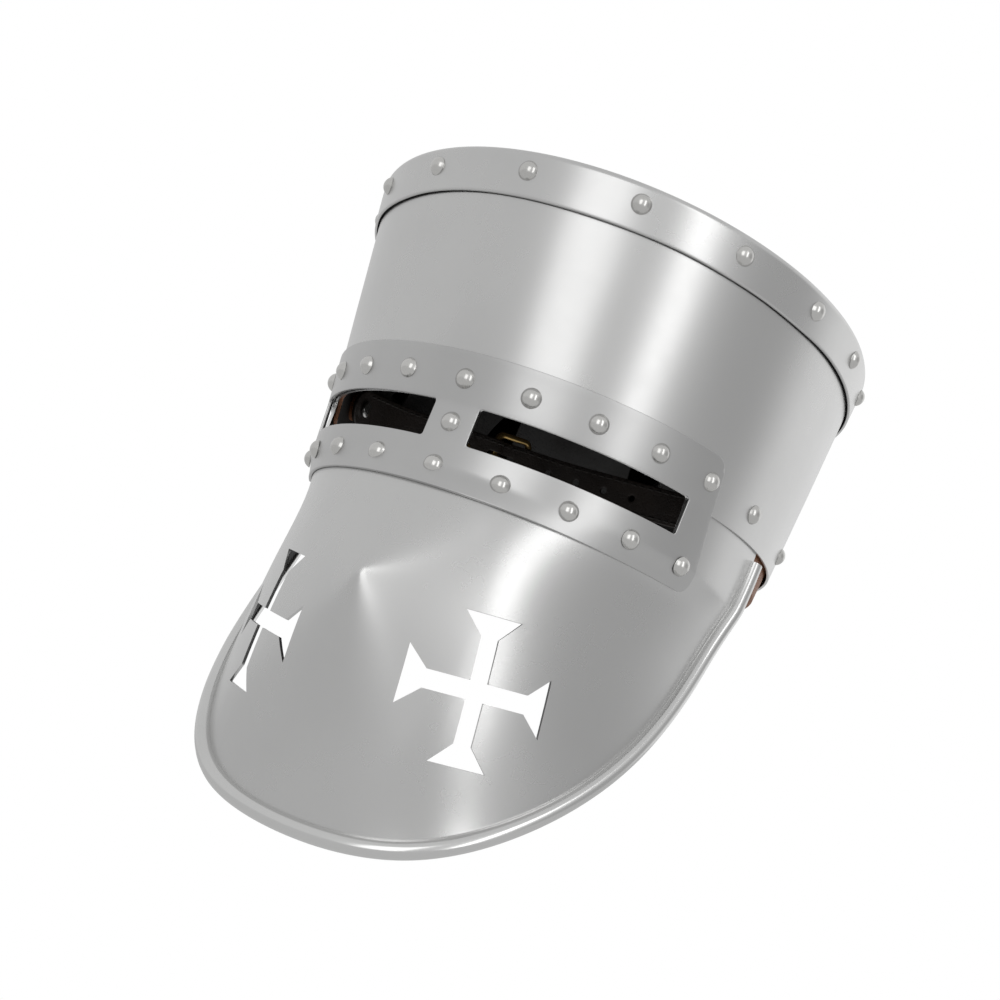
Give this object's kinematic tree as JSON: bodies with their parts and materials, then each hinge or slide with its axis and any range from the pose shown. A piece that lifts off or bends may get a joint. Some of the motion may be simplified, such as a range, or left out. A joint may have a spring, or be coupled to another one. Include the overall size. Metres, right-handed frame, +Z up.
{
  "type": "knight helmet",
  "caption": "Flat-topped riveted steel helm with a sight plate, a peaked face plate pierced by crosses, a rolled rim, a leather liner and a buckled chin strap.",
  "frame": {"origin": "middle of the head opening, on the helm's centre plane and level with the skull shell's lower edge", "axes": "+Z up as the helm is worn, -Y out of the face, +X towards the wearer's left"},
  "size_m": [0.2366, 0.2912, 0.2854],
  "materials": {
    "sheet_steel": "satin, brushed round the helm",
    "rivet_steel": "polished",
    "brass_fittings": "dull brass",
    "liner_leather": "reddish-brown, smooth grain",
    "strap_leather": "brown, oiled",
    "lace_leather": "dark thong"
  },
  "bodies": {
    "helm": {"crown_plate": "sheet_steel", "crown_rivets": "rivet_steel", "skull_shell": "sheet_steel", "back_seam_rivets": "rivet_steel", "sight_plate": "sheet_steel", "sight_top_rivets": "rivet_steel", "sight_bottom_rivets": "rivet_steel", "sight_centre_rivet": "rivet_steel", "face_plate": "sheet_steel", "rim_wire": "rivet_steel", "liner_band": "liner_leather", "liner_rivets": "rivet_steel", "liner_rivet_burrs": "brass_fittings", "liner_lace": "lace_leather", "liner_tongue_1": "liner_leather", "liner_tongue_2": "liner_leather", "liner_tongue_3": "liner_leather", "liner_tongue_4": "liner_leather", "liner_tongue_5": "liner_leather", "liner_tongue_6": "liner_leather", "liner_tongue_7": "liner_leather", "liner_tongue_8": "liner_leather", "strap_spacers": "strap_leather", "strap_rivet_right": "rivet_steel", "strap_rivet_left": "rivet_steel"},
    "chin_strap": {"chin_strap_long": "strap_leather", "chin_strap_short": "strap_leather", "strap_fold_rivet": "brass_fittings"},
    "keeper": {"strap_keeper": "strap_leather"},
    "buckle": {"buckle_frame": "brass_fittings"},
    "prong": {"buckle_prong": "brass_fittings"}
  },
  "joints": [
    {"name": "chin_strap_swing", "type": "hinge", "parent": "helm", "child": "chin_strap", "pos_m": [0, -0.0303, 0.0112], "axis": [1, 0, 0], "range_deg": [-100, 0]},
    {"name": "buckle_tilt", "type": "hinge", "parent": "chin_strap", "child": "buckle", "pos_m": [-0.06129, 0.057, 0.02659], "axis": [0, -0.1736, 0.9848], "range_deg": [0, 12]},
    {"name": "prong_lift", "type": "hinge", "parent": "buckle", "child": "prong", "pos_m": [-0.06129, 0.057, 0.02659], "axis": [0, -0.1736, 0.9848], "range_deg": [0, 15]},
    {"name": "keeper_slide", "type": "slide", "parent": "chin_strap", "child": "keeper", "axis": [0.5816, 0.8011, 0.1413], "range_m": [-0.004, 0]}
  ]
}
